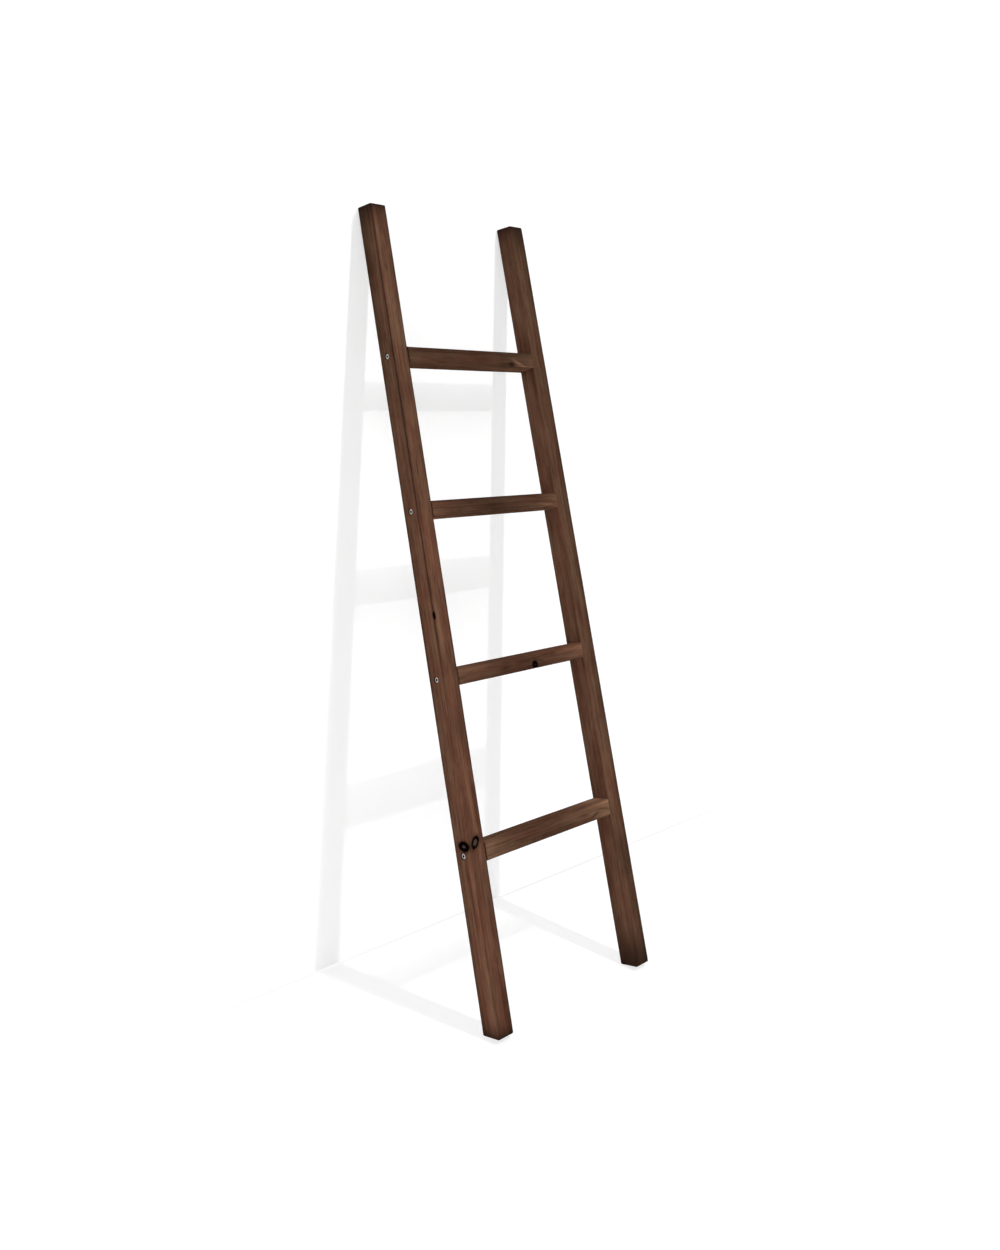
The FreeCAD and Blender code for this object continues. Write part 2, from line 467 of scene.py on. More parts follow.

# Darkening towards the ends: its share at the end and its reach, and at a foot the power of its fall
RAIL_TOP_DARK = 0.90
RAIL_TOP_REACH = {"left_rail": 22.0 * MM, "right_rail": 35.0 * MM}
RAIL_FOOT_DARK = {"left_rail": (0.95, 19.0 * MM, 1.0), "right_rail": (0.79, 54.0 * MM, 2.0)}
RUNG_END_DARK = {"rung_1": 0.70, "rung_2": 0.30, "rung_3": 0.25, "rung_4": 0.80}
RUNG_END_REACH = 1.4 * MM

# Light left on the sawn ends and inside the bores
END_LIGHT = 0.3
BORE_LIGHT = 0.2

# Growth rings: the pith's distance from the board and its drift over a rail's length, both in
# millimetres, its slow waves, the rings' width, and how they swell round a knot
PITH_AWAY = (38.0, 75.0)
PITH_DRIFT = 14.0
PITH_SPAN = 1.5
PITH_WAVE = 2.2 * MM
PITH_WAVES = (1.3, 0.55, 0.24)
PITH_SLANT = 0.6
RING_WIDTH = 5.2 * MM
SWELL_RINGS = 0.9
SWELL_REACH = 1.7

# Relief of the skin: grooves along the rings, the slow wave of sanding, and the dish round a knot, whose
# deepest ring and width are shares of the knot's size
GROOVE_DEPTH = 0.05 * MM
SANDED_DEPTH = 0.10 * MM
SANDED_WAVES = (0.31, 0.17)
SANDED_SLANT = 0.3
DISH_DEPTH = 0.35 * MM
DISH_RING = 0.85
DISH_WIDTH = 0.3

# What each use of chance adds to a board's seed, and how far apart the boards lie in the noise
PITH_SEED = 5
SANDED_SEED = 9
NOISE_SEED = 20
NOISE_SPREAD = 3.0


def knot_distance(points, centre, half, tilt, face):
    """Distance from a knot or streak in its own half sizes: 0 at its heart, 1 on its rim.

    The offset in the face's plane is turned by the tilt and divided by the half sizes; depth below
    the face counts a little, so that a knot stays on its own face.
    """
    offset = points - np.array(centre)
    side, deep = (offset[:, 1], offset[:, 0]) if face == "x" else (offset[:, 0], offset[:, 1])
    a = math.radians(tilt)
    lengthwise = offset[:, 2] * math.cos(a) + side * math.sin(a)
    crosswise = side * math.cos(a) - offset[:, 2] * math.sin(a)
    return np.sqrt((lengthwise / half[0]) ** 2 + (crosswise / half[1]) ** 2 + (deep / min(half)) ** 2)


def growth_rings(section, along, seed, knots):
    """Number of growth rings from the pith: distance to a pith line that leans and wanders past the
    board, over the ring width; beside each knot the rings swell round it."""
    rng = np.random.default_rng(seed)
    turn = rng.uniform(0.0, 2.0 * math.pi)
    far = rng.uniform(*PITH_AWAY) * MM
    drift = rng.uniform(-PITH_DRIFT, PITH_DRIFT) * MM / PITH_SPAN
    wave = wander(along, seed + PITH_SEED, PITH_WAVES) * PITH_WAVE
    pith_u = far * math.cos(turn) + drift * along + wave
    pith_v = far * math.sin(turn) - drift * along + wave * PITH_SLANT
    reach = np.hypot(section[:, 0] - pith_u, section[:, 1] - pith_v)
    swell = sum(np.exp(-0.5 * (d / SWELL_REACH) ** 2) for d in knots)
    return reach / RING_WIDTH + SWELL_RINGS * swell


def put_object(name, data):
    """A new object in the scene."""
    made = bpy.data.objects.new(name, data)
    bpy.context.scene.collection.objects.link(made)
    return made


def put_mesh(name, points, quads, triangles, attributes, material, crease):
    """A mesh object from arrays, faces outwards, with its attributes and material; edges that turn by
    more than the crease, in radians, stay sharp."""
    mesh = bpy.data.meshes.new(name)
    squares, fans = np.concatenate(quads), np.concatenate(triangles)
    loops = np.concatenate([squares.ravel(), fans.ravel()])
    sizes = np.repeat([4, 3], [len(squares), len(fans)])
    mesh.vertices.add(len(points))
    mesh.vertices.foreach_set("co", points.astype(np.float32).ravel())
    mesh.loops.add(len(loops))
    mesh.loops.foreach_set("vertex_index", loops.astype(np.int32))
    mesh.polygons.add(len(sizes))
    mesh.polygons.foreach_set("loop_start", (np.cumsum(sizes) - sizes).astype(np.int32))
    mesh.polygons.foreach_set("use_smooth", np.ones(len(sizes), bool))
    mesh.update(calc_edges=True)
    for key, values in attributes.items():
        kind, field = ("FLOAT_VECTOR", "vector") if values.ndim == 2 else ("FLOAT", "value")
        layer = mesh.attributes.new(key, kind, "POINT")
        layer.data.foreach_set(field, values.astype(np.float32).ravel())
    work = bmesh.new()
    work.from_mesh(mesh)
    bmesh.ops.recalc_face_normals(work, faces=work.faces)
    work.to_mesh(mesh)
    work.free()
    mesh.set_sharp_from_angle(angle=crease)
    mesh.materials.append(material)
    return put_object(name, mesh)


# Materials


def feed(node, values):
    """Feed a node's inputs, each from another node's output or with a constant; a colour is opaque."""
    for key, value in values.items():
        socket = node.inputs[key]
        if isinstance(value, bpy.types.NodeSocket):
            socket.id_data.links.new(value, socket)
        else:
            socket.default_value = (*value, 1.0) if socket.type == "RGBA" else value


def node_maker(tree):
    """A short way to add nodes to a tree."""

    def add(kind, inputs=None, **settings):
        """A node of this kind, with its settings and its inputs fed."""
        node = tree.nodes.new(kind)
        for key, value in settings.items():
            setattr(node, key, value)
        feed(node, inputs or {})
        return node

    return add


def material_nodes(name):
    """A new material, its shader, and a short way to add a node."""
    made = bpy.data.materials.new(name)
    made.use_nodes = True
    return made, made.node_tree.nodes["Principled BSDF"], node_maker(made.node_tree)


def ramp(add, factor, stops):
    """A colour ramp: stops are (place, colour or grey)."""
    node = add("ShaderNodeValToRGB", {"Fac": factor})
    while len(node.color_ramp.elements) < len(stops):
        node.color_ramp.elements.new(1.0)
    for element, (place, colour) in zip(node.color_ramp.elements, stops):
        element.position = place
        element.color = (*colour, 1.0) if isinstance(colour, tuple) else (colour, colour, colour, 1.0)
    return node.outputs["Color"]


def blend(add, factor, first, second):
    """Mix two colours by a factor."""
    return add("ShaderNodeMix", {0: factor, 6: first, 7: second}, data_type="RGBA").outputs[2]


def sums(add, kind, *values):
    """Arithmetic on numbers."""
    return add("ShaderNodeMath", dict(enumerate(values)), operation=kind).outputs[0]


# Colours of the stained pine at full light, of its pores and of its darkened places
RED_BROWN = (1.0, 0.420, 0.258)
TAN_BROWN = (1.0, 0.540, 0.323)
PORE_BROWN = (0.022, 0.011, 0.008)
DARKENED_BROWN = (0.014, 0.008, 0.006)

# Tone through one growth ring, its mean and strength, and how far the long streaks bend the rings
RING_TONES = ((0.0, 0.62), (0.45, 0.5), (0.78, 0.2), (0.9, 0.12), (1.0, 0.6))
RING_MEAN = 0.45
RING_STRENGTH = 0.22
RING_BEND = 0.9
DARKEST_LEVEL = 0.35

# How the lean towards tan follows the noise of hue and the level of light
HUE_SPREAD = 2.6
HUE_START = -1.95
HUE_BY_LEVEL = 0.9


def stained_pine():
    """Dark walnut stain on pine: blotches, long streaks, dashes, growth rings, fine fibres and pores,
    darker arrises and ends, and black-rimmed knots.

    Colour = hue, from red brown to tan, times the stain, which also carries painted shade and light, times
    the sum of the noises about 1.
    """
    made, shader, add = material_nodes("stained_pine")

    def attribute(name, output="Fac"):
        """A value that the board's mesh carries."""
        return add("ShaderNodeAttribute", attribute_name=name).outputs[output]

    log = attribute("log", "Vector")
    place = attribute("place", "Vector")

    def streaks(across, along, detail, shift):
        """Noise in the log's frame, stretched by its own counts per metre across and along the grain."""
        stretch = add("ShaderNodeMapping", {"Vector": log, "Scale": (across, across, along),
                                            "Location": (shift, 2.0 * shift, 3.0 * shift)})
        return add("ShaderNodeTexNoise", {"Vector": stretch.outputs[0], "Scale": 1.0, "Detail": detail,
                                          "Roughness": 0.6}).outputs["Fac"]

    blotch = streaks(30.0, 13.0, 3.0, 0.0)
    broad = streaks(110.0, 8.0, 3.0, 19.0)
    long_streak = streaks(300.0, 3.5, 3.0, 7.0)
    fibre = streaks(900.0, 22.0, 3.0, 13.0)
    pore = streaks(1500.0, 45.0, 1.0, 29.0)
    dash = ramp(add, streaks(260.0, 18.0, 2.0, 53.0), ((0.30, 0.30), (0.42, 0.0)))
    hue = streaks(45.0, 12.0, 3.0, 41.0)
    ring = sums(add, "ADD", attribute("ring"), sums(add, "MULTIPLY", long_streak, RING_BEND))
    band = ramp(add, sums(add, "FRACT", ring), RING_TONES)
    noises = ((blotch, 0.9), (broad, 1.1), (long_streak, 0.8), (fibre, 0.6))
    rest = 1.0 - RING_STRENGTH * RING_MEAN - 0.5 * sum(strength for _, strength in noises)
    level = sums(add, "MULTIPLY_ADD", band, RING_STRENGTH, rest)
    for noise, strength in noises:
        level = sums(add, "MULTIPLY_ADD", noise, strength, level)
    level = sums(add, "MAXIMUM", level, DARKEST_LEVEL)
    level = sums(add, "MULTIPLY", level, sums(add, "SUBTRACT", 1.0, dash))
    lean = sums(add, "ADD", attribute("tan"), sums(add, "MULTIPLY_ADD", hue, HUE_SPREAD, HUE_START))
    lean = sums(add, "MULTIPLY_ADD", level, HUE_BY_LEVEL, lean)
    tint = blend(add, ramp(add, lean, ((0.0, 0.0), (1.0, 1.0))), RED_BROWN, TAN_BROWN)
    strength = sums(add, "MULTIPLY", attribute("stain"), level)
    colour = add("ShaderNodeVectorMath", {0: tint, "Scale": strength}, operation="SCALE").outputs[0]
    colour = blend(add, ramp(add, pore, ((0.28, 0.45), (0.4, 0.0))), colour, PORE_BROWN)
    colour = blend(add, attribute("dark"), colour, DARKENED_BROWN)
    ripple = add("ShaderNodeTexNoise", {"Vector": place, "Scale": 260.0, "Detail": 2.0}).outputs["Fac"]
    for _, *form in KNOTS:
        colour = knot_colour(add, colour, place, ripple, *form)
    bump = add("ShaderNodeBump", {"Height": fibre, "Strength": 0.35, "Distance": 0.4 * MM})
    feed(shader, {"Base Color": colour, "Roughness": 0.85, "Specular IOR Level": 0.0,
                  "Normal": bump.outputs["Normal"]})
    return made


# A knot's heart and the wood round it, its black rim and its halo, and the waviness of its rim
KNOT_HEART = (0.070, 0.050, 0.038)
KNOT_WOOD = (0.058, 0.040, 0.030)
KNOT_BLACK = (0.002, 0.001, 0.001)
KNOT_HALO = (0.040, 0.017, 0.011)
KNOT_RIPPLE = 0.44


def knot_colour(add, colour, place, ripple, centre, half, tilt, heart, face):
    """Paint one knot: grey-brown heart, black rim, reddish halo that fades into the board.

    The tones follow half the knot_distance, made wavy by the ripple.
    """
    offset = add("ShaderNodeVectorMath", {0: place, 1: centre}, operation="SUBTRACT").outputs[0]
    turn = (math.radians(-tilt), 0.0, 0.0) if face == "x" else (0.0, math.radians(-tilt), 0.0)
    turned = add("ShaderNodeMapping", {"Vector": offset, "Rotation": turn}).outputs[0]
    along, across, into = 1.0 / half[0], 1.0 / half[1], 1.0 / min(half)
    scale = (into, across, along) if face == "x" else (across, into, along)
    sized = add("ShaderNodeVectorMath", {0: turned, 1: scale}, operation="MULTIPLY").outputs[0]
    length = add("ShaderNodeVectorMath", {0: sized}, operation="LENGTH").outputs["Value"]
    evened = sums(add, "SUBTRACT", length, KNOT_RIPPLE / 2.0)
    reach = sums(add, "MULTIPLY", sums(add, "MULTIPLY_ADD", ripple, KNOT_RIPPLE, evened), 0.5)
    cover = ramp(add, reach, ((0.0, 1.0), (0.47, 1.0), (0.54, 0.5), (0.85, 0.0)))
    paint = ramp(add, reach, ((0.0, KNOT_HEART), (0.5 * heart, KNOT_WOOD), (0.5 * heart + 0.06, KNOT_BLACK),
                              (0.48, KNOT_BLACK), (0.60, KNOT_HALO)))
    return blend(add, cover, colour, paint)


def zinc_steel():
    """Satin zinc plate with a faint turned mottle, near black inside the socket."""
    made, shader, add = material_nodes("zinc_steel")
    where = add("ShaderNodeTexCoord").outputs["Object"]
    mottle = add("ShaderNodeTexNoise", {"Vector": where, "Scale": 900.0, "Detail": 2.0}).outputs["Fac"]
    plate = ramp(add, mottle, ((0.3, (0.46, 0.46, 0.46)), (0.7, (0.62, 0.62, 0.61))))
    # The socket's first rows are darkened to near black
    socket_dark = add("ShaderNodeAttribute", attribute_name="socket_dark").outputs["Fac"]
    feed(shader, {"Base Color": blend(add, socket_dark, plate, (0.012, 0.012, 0.012)), "Metallic": 1.0,
                  "Roughness": ramp(add, mottle, ((0.3, 0.42), (0.7, 0.28)))})
    return made


def plain_beech():
    """Unstained beech with short flecks along the dowel."""
    made, shader, add = material_nodes("plain_beech")
    where = add("ShaderNodeTexCoord").outputs["Object"]
    stretch = add("ShaderNodeMapping", {"Vector": where, "Scale": (60.0, 700.0, 700.0)}).outputs[0]
    fleck = add("ShaderNodeTexNoise", {"Vector": stretch, "Scale": 1.0, "Detail": 3.0}).outputs["Fac"]
    colour = ramp(add, fleck, ((0.3, (0.36, 0.23, 0.13)), (0.7, (0.58, 0.41, 0.25))))
    feed(shader, {"Base Color": colour, "Roughness": 0.6})
    return made


PINE = stained_pine()
ZINC = zinc_steel()
BEECH = plain_beech()


# The boards

# Bores as (radius, depth) steps. A screw's entry and exit in a rail end at these shares of its width
ENTRY_SHARE = 0.5
EXIT_SHARE = 0.3
SINK_RADIUS = SCREW_HEAD_RADIUS + SCREW_RECESS * (SCREW_HEAD_RADIUS - SCREW_RADIUS) / SCREW_CONE
BORE_RADIUS = SCREW_RADIUS + SCREW_PLAY
SCREW_ENTRY = [(SINK_RADIUS, 0.0), (SCREW_HEAD_RADIUS, SCREW_RECESS),
               (BORE_RADIUS, SCREW_RECESS + SCREW_CONE), (BORE_RADIUS, RAIL_WIDTH * ENTRY_SHARE)]
SCREW_EXIT = [(BORE_RADIUS, 0.0), (BORE_RADIUS, RAIL_WIDTH * EXIT_SHARE)]
RUNG_SCREW = [(SCREW_RADIUS, 0.0), (SCREW_RADIUS, SCREW_RECESS + SCREW_LENGTH + SCREW_END_GAP - RAIL_WIDTH)]
DOWEL_STEPS = [(DOWEL_RADIUS, 0.0), (DOWEL_RADIUS, DOWEL_LENGTH / 2.0 + DOWEL_END_GAP)]

# Half sizes, in cells, of the blocks that bores open. Rails: along, then across to each side, the dowel's
# by its face. Rungs: up and across
ENTRY_BLOCK = (5, (5, 5))
EXIT_BLOCK = (7, (3, 3))
DOWEL_BLOCK = {1: (5, (3, 4)), 3: (5, (4, 3))}
RUNG_SCREW_BLOCK = (3, 3)
RUNG_DOWEL_BLOCK = (4, 3)

# Steps along the boards. Rails have finer cells to each side of a rung, and the left one at its knots
RAIL_STEP = 4.0 * MM
RUNG_STEP = 3.0 * MM
FINE_CELLS = 7
TWIN_KNOT_CELLS = 18
SMALL_KNOT_SPAN = (712.0 * MM, 730.0 * MM, 12)

# Stretch of a rail below its top that follows the sawn slope, and edges kept sharp, in radians
TOP_BLEND = 60.0 * MM
BOARD_CREASE = 0.6
TURNED_CREASE = 0.55


def finish_board(name, parts, to_ladder, seed, stain, tan, arris, end_dark):
    """Relief, attributes and mesh of one board.

    Arrises and sawn ends are darkened: darkness falls off with the distance from each. Relief only
    ever goes inwards: fine grooves that follow the rings, a slow sanded wave, and a shallow dish round
    each knot, all times the skin's weight.
    """
    points, normals, weights, quads, triangles = parts
    section, along = points[:, :2], points[:, 2]
    placed = to_ladder(points)
    knots = [knot_distance(placed, *form, face) for node, *form, _, face in KNOTS if node == name]
    rings = growth_rings(section, along, seed, knots)
    groove = GROOVE_DEPTH * (0.5 + 0.5 * np.sin(2.0 * math.pi * rings))
    slow = wander(along + SANDED_SLANT * section[:, 0], seed + SANDED_SEED, SANDED_WAVES)
    sanded = SANDED_DEPTH * (0.5 + 0.5 * slow)
    dish = sum(DISH_DEPTH * np.exp(-((d - DISH_RING) / DISH_WIDTH) ** 2) for d in knots)
    on_side = np.abs(normals[:, 2]) < 0.5
    sunk = points - normals * ((groove + sanded + dish) * weights * on_side)[:, None]
    half = np.abs(section).max(0)
    light = (1.0 - end_dark) * np.where(on_side, 1.0, END_LIGHT) * np.where(weights > 0.0, 1.0, BORE_LIGHT)
    for corner, strength in zip(CORNERS, arris):
        away = (half - corner * section).max(1)
        light = light * (1.0 - strength * np.exp(-(away / ARRIS_REACH) ** 2))
    for node, *form, depth, face in STREAKS:
        if node == name:
            stain = stain * (1.0 - depth * np.exp(-knot_distance(placed, *form, face) ** 2))
    offset = np.random.default_rng(seed + NOISE_SEED).uniform(-NOISE_SPREAD, NOISE_SPREAD, 3)
    # The stain also carries painted shade and painted light, besides the wood's own tones
    attributes = {"log": points + offset, "place": placed, "ring": rings, "dark": 1.0 - light,
                  "stain": stain, "tan": tan}
    skin = to_room(to_ladder(sunk))
    piece = put_mesh(name + "_grained", skin, quads, triangles, attributes, PINE, BOARD_CREASE)
    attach(piece, "root")
    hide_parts(name)


def painted_shading(points, normals, wide, deep):
    """Painted shade and painted light across the faces: the shares across the faces that look along the
    section's second axis (wide) and along its first (deep), each weighed by the square of the normal's part
    that way."""
    place = points[:, :2] / np.abs(points[:, :2]).max(0)
    steps = np.linspace(-1.0, 1.0, len(wide))
    first = (np.interp(place[:, 0], steps, wide) - 1.0) * normals[:, 1] ** 2
    second = (np.interp(place[:, 1], steps, deep) - 1.0) * normals[:, 0] ** 2
    return 1.0 + first + second


def slope_top(points):
    """Saw the top off square: height grows by depth times the cut's slope, evenly more towards the top."""
    share = np.clip((points[:, 2] - RAIL_LENGTH) / TOP_BLEND + 1.0, 0.0, 1.0)
    points[:, 2] += share * math.tan(TOP_CUT) * (points[:, 1] + RAIL_DEPTH / 2.0)


def rail_tone(tones, from_foot, normals):
    """A tone along a rail: straight from foot to halfway to top, of the front and of the sides, and
    between these by the square of the normal's part across."""
    heights = RAIL_LENGTH * np.array([0.0, 0.5, 1.0])
    front, side = (np.interp(from_foot, heights, levels) for levels in tones)
    return front + normals[:, 0] ** 2 * (side - front)


def rung_tone(tones, place):
    """A tone along a rung: from its middle to each end by a power of the distance, 1 at the end."""
    left, core, right = tones
    return core + np.where(place < 0.0, left - core, right - core) * np.abs(place) ** RUNG_TONE_POWER


def make_rail(name, side, seed):
    """A rail: outer face with countersunk screw bores, inner face with their exits and the dowel
    bores, sawn and bevelled ends."""
    outer, inner = (3, 1) if side < 0 else (1, 3)
    bores = []
    for k, height in enumerate(RUNG_HEIGHTS):
        bores.append((outer, height, 0.0, *ENTRY_BLOCK, SCREW_ENTRY, "screw%d" % k))
        bores.append((inner, height, 0.0, *EXIT_BLOCK, SCREW_EXIT, "screw%d" % k))
        bores.append((inner, height, DOWEL_OFFSET, *DOWEL_BLOCK[inner], DOWEL_STEPS, None))
    fine = [(h - FINE_CELLS * CELL, h + FINE_CELLS * CELL, 2 * FINE_CELLS) for h in RUNG_HEIGHTS]
    if side < 0:
        above = fine[-1][1]
        fine += [(above, above + TWIN_KNOT_CELLS * CELL, TWIN_KNOT_CELLS), SMALL_KNOT_SPAN]
    spans = [(low - END_BEVEL, high - END_BEVEL, cells) for low, high, cells in fine]
    along = END_BEVEL + stations(RAIL_LENGTH - 2.0 * END_BEVEL, spans, RAIL_STEP)
    parts = board(RAIL_WIDTH, RAIL_DEPTH, along, RAIL_EASING, END_BEVEL, seed, bores)
    points, normals = parts[:2]
    from_foot = points[:, 2].copy()
    slope_top(points)
    # Painted shade and painted light across the faces are multiplied into the stain
    stain = rail_tone(RAIL_STAIN_AND_SHADE[name], from_foot, normals) * painted_shading(points, normals, *RAIL_PAINTED_SHADING[name])
    tan = rail_tone(RAIL_TAN[name], from_foot, normals)
    share, reach, power = RAIL_FOOT_DARK[name]
    foot = share * np.exp(-(from_foot / reach) ** power)
    top = RAIL_TOP_DARK * np.exp((from_foot - RAIL_LENGTH) / RAIL_TOP_REACH[name])
    arris = list(RAIL_ARRIS[name])
    if side < 0:
        arris[0] *= np.clip((from_foot - PALE_BELOW) / PALE_SPAN + 1.0, PALE_LEAST, 1.0)
        away = [(from_foot - h) / (JOINT_SPAN * RUNG_THICKNESS) for h in RUNG_HEIGHTS]
        arris[1] *= 1.0 - JOINT_PALING * sum(np.exp(-a ** 4) for a in away)
    middle = np.array([side * (HALF_WIDTH - RAIL_WIDTH / 2.0), RAIL_DEPTH / 2.0, 0.0])
    end_dark = 1.0 - (1.0 - foot) * (1.0 - top)
    finish_board(name, parts, lambda p: p + middle, seed, stain, tan, arris, end_dark)


def cells_round(middle, half):
    """The span of cells that reaches half cells to both sides of the middle one."""
    return middle - half, middle + half + 1


def make_rung(name, height, seed):
    """A rung: grain along x, square ends with a screw bore and a dowel bore each."""
    across = HALF_ARC + cell_count(RAIL_DEPTH - 2.0 * RUNG_EASING, True) // 2
    up = HALF_ARC + cell_count(RUNG_THICKNESS - 2.0 * RUNG_EASING, True) // 2
    behind = across + round(DOWEL_OFFSET / CELL)
    bores = []
    for end in (0, 1):
        for place, column, block, steps in ((0.0, across, RUNG_SCREW_BLOCK, RUNG_SCREW),
                                            (DOWEL_OFFSET, behind, RUNG_DOWEL_BLOCK, DOWEL_STEPS)):
            rows, columns = cells_round(up, block[0]), cells_round(column, block[1])
            bores.append((end, (place, 0.0), rows, columns, steps))
    along = stations(2.0 * INNER, [], RUNG_STEP) - INNER
    parts = board(RAIL_DEPTH, RUNG_THICKNESS, along, RUNG_EASING, 0.0, seed, (), bores)
    points, normals = parts[:2]
    place = points[:, 2] / INNER
    # Painted light on the undersides: faces that look down get a paler stain, against the shade under a
    # rung
    below = np.clip(-normals[:, 1], 0.0, 1.0) ** 2
    stain = rung_tone(RUNG_STAIN[name], place) * (1.0 + (RUNG_UNDERSIDE_PAINTED_LIGHT - 1.0) * below)
    # Painted shade and painted light across the front and back are multiplied into the stain
    stain = stain * painted_shading(points, normals, NO_PAINTED_SHADING, RUNG_PAINTED_SHADING[name])
    tan = rung_tone(RUNG_TAN[name], place)
    end_dark = RUNG_END_DARK[name] * np.exp(-(place + 1.0) * INNER / RUNG_END_REACH)
    middle = np.array([0.0, RAIL_DEPTH / 2.0, height])
    finish_board(name, parts, lambda p: p[:, [2, 0, 1]] + middle, seed, stain, tan, RUNG_ARRIS[name], end_dark)


make_rail("left_rail", -1.0, seed=11)
make_rail("right_rail", 1.0, seed=23)
for number, (name, height) in enumerate(zip(RUNGS, RUNG_HEIGHTS)):
    make_rung(name, height, seed=37 + 10 * number)


# Fasteners

# A screw: points round it, the socket's mouth, the head's dome as (radius, depth) steps, the neck, and
# where its thread starts and ends
SCREW_SIDES = 36
SOCKET_RIM = 0.4 * MM
SOCKET_MOUTH = 1.1
SOCKET_LIP = 0.08 * MM
SOCKET_ROWS = 4
HEAD_DOME = ((3.2 * MM, 0.0), (4.3 * MM, 0.05 * MM), (4.7 * MM, 0.2 * MM),
             (SCREW_HEAD_RADIUS - 0.03 * MM, 0.5 * MM))
NECK_RADIUS = SCREW_RADIUS - 0.05 * MM
NECK_ENDS = (0.1 * MM, 4.0 * MM)
THREAD_START = 4.5 * MM
THREAD_RUNOUT = 0.3 * MM
THREAD_ROWS = 6

# Room left round threads and dowels in their bores, and a flute's depth and points
SKIN_GAP = 0.02 * MM
FLUTE_DEPTH = 0.22 * MM
FLUTE_POINTS = 6


def turned_rows(form, angles):
    """A turned surface from (radius, depth) steps; a radius may be one number or follow the angle."""
    radius, depth = (np.stack([np.broadcast_to(v, angles.shape) for v in column]) for column in zip(*form))
    return np.stack([depth, radius * np.cos(angles), radius * np.sin(angles)], 2)


def screw_rows():
    """A screw along +x from its head: hexagon socket, domed head, cone, neck, thread and tip.

    The hexagon's radius is its half width over the cosine of the angle from the nearest flat. On
    the thread the radius rises and falls evenly with the fraction of depth / pitch - turn.
    """
    angles = np.linspace(0.0, 2.0 * math.pi, SCREW_SIDES, endpoint=False)
    sixth = math.pi / 3.0
    hexagon = SOCKET_FLATS / 2.0 / np.cos((angles + sixth / 2.0) % sixth - sixth / 2.0)
    top = SCREW_RECESS
    neck = top + SCREW_CONE
    stop = top + SCREW_LENGTH - SCREW_TIP
    form = [(hexagon * share, top + SOCKET_DEPTH) for share in (0.5, 1.0)]
    form += [(hexagon, top + SOCKET_RIM), (hexagon * SOCKET_MOUTH, top + SOCKET_LIP)]
    form += [(radius, top + depth) for radius, depth in HEAD_DOME]
    form += [(NECK_RADIUS, neck + depth) for depth in NECK_ENDS]
    for depth in np.arange(neck + THREAD_START, stop, SCREW_PITCH / THREAD_ROWS):
        phase = (depth / SCREW_PITCH - angles / (2.0 * math.pi)) % 1.0
        ridge = 1.0 - np.abs(2.0 * phase - 1.0)
        form.append((SCREW_CORE + (SCREW_RADIUS - SKIN_GAP - SCREW_CORE) * ridge, depth))
    form += [(SCREW_CORE, stop + THREAD_RUNOUT), (SCREW_TIP_RADIUS, top + SCREW_LENGTH)]
    return turned_rows(form, angles)


def dowel_rows():
    """A fluted dowel along +x: the radius dips once for each flute, and each end is chamfered."""
    angles = np.linspace(0.0, 2.0 * math.pi, FLUTE_POINTS * FLUTES, endpoint=False)
    flute = FLUTE_DEPTH * np.clip(np.cos(FLUTES * angles), 0.0, 1.0)
    begin, end = RAIL_WIDTH - DOWEL_LENGTH / 2.0, RAIL_WIDTH + DOWEL_LENGTH / 2.0
    small, full = DOWEL_RADIUS - DOWEL_CHAMFER, DOWEL_RADIUS - SKIN_GAP - flute
    form = [(small, begin), (full, begin + DOWEL_CHAMFER), (full, end - DOWEL_CHAMFER), (small, end)]
    return turned_rows(form, angles)


def turned_group(name, node, rows, y, material, dark_rows=0):
    """Copies of one turned form at every rung end, as one piece; the first rows may be darkened."""
    shell = Shell()
    socket_dark = np.zeros(rows.shape[:2])
    socket_dark[:dark_rows] = 1.0
    for side in (-1.0, 1.0):
        for height in RUNG_HEIGHTS:
            placed = rows * np.array([-side, 1.0, 1.0]) + np.array([side * HALF_WIDTH, y, height])
            ids = shell.add(placed, (0.0, 0.0, 0.0), socket_dark)
            shell.grid(np.concatenate([ids, ids[:, :1]], 1))
            close_bore(shell, ids[0], socket_dark[0, 0])
            close_bore(shell, ids[-1])
    points, _, socket_dark, quads, triangles = shell.arrays()
    piece = put_mesh(name, to_room(points), quads, triangles, {"socket_dark": socket_dark}, material, TURNED_CREASE)
    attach(piece, "root")
    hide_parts(node)


turned_group("threaded_screws", "screws", screw_rows(), SCREW_Y, ZINC, SOCKET_ROWS)
turned_group("fluted_dowels", "dowels", dowel_rows(), DOWEL_Y, BEECH)


# Floor, wall, light and camera

# The wall stands just behind the ladder's top. Paints are glow and matt share. Painted shade where wall
# meets
# floor: a thin grey glowing sheet, with its place and width, and a grey of (dimmest x, rise per metre,
# least level)
FAR = 6.0
WALL_Y = float(cad_box[1][1]) + 0.5 * MM
WALL_PAINT = (0.566, 0.52)
FLOOR_PAINT = (0.738, 0.322)
LINE_LEFT = -0.50
LINE_RIGHT = 0.98
LINE_WIDTH = 8.0 * MM
LINE_GAP = 0.2 * MM
LINE_SHADE_GREY = (0.30, 0.10, 0.91)
WHITE = (1.0, 1.0, 1.0)
PLAIN_WHITE = (0.8, 0.8, 0.8)


def lit_paint(add, glow, matt):
    """A glow and a matt share, which keep soft shadows."""
    even = add("ShaderNodeEmission", {"Color": WHITE, "Strength": glow})
    soft = add("ShaderNodeBsdfDiffuse", {"Color": (matt, matt, matt)})
    return add("ShaderNodeAddShader", {0: even.outputs[0], 1: soft.outputs[0]})


def shade_line_glow(add, dimmest, rise, least):
    """Painted shade for the corner: a grey glow that brightens evenly along x to both sides of its dimmest
    place.
    """
    along = add("ShaderNodeSeparateXYZ", {0: add("ShaderNodeTexCoord").outputs["Object"]}).outputs["X"]
    away = sums(add, "ABSOLUTE", sums(add, "SUBTRACT", along, dimmest))
    level = sums(add, "MULTIPLY_ADD", away, rise, least)
    return add("ShaderNodeEmission", {"Color": WHITE, "Strength": level})


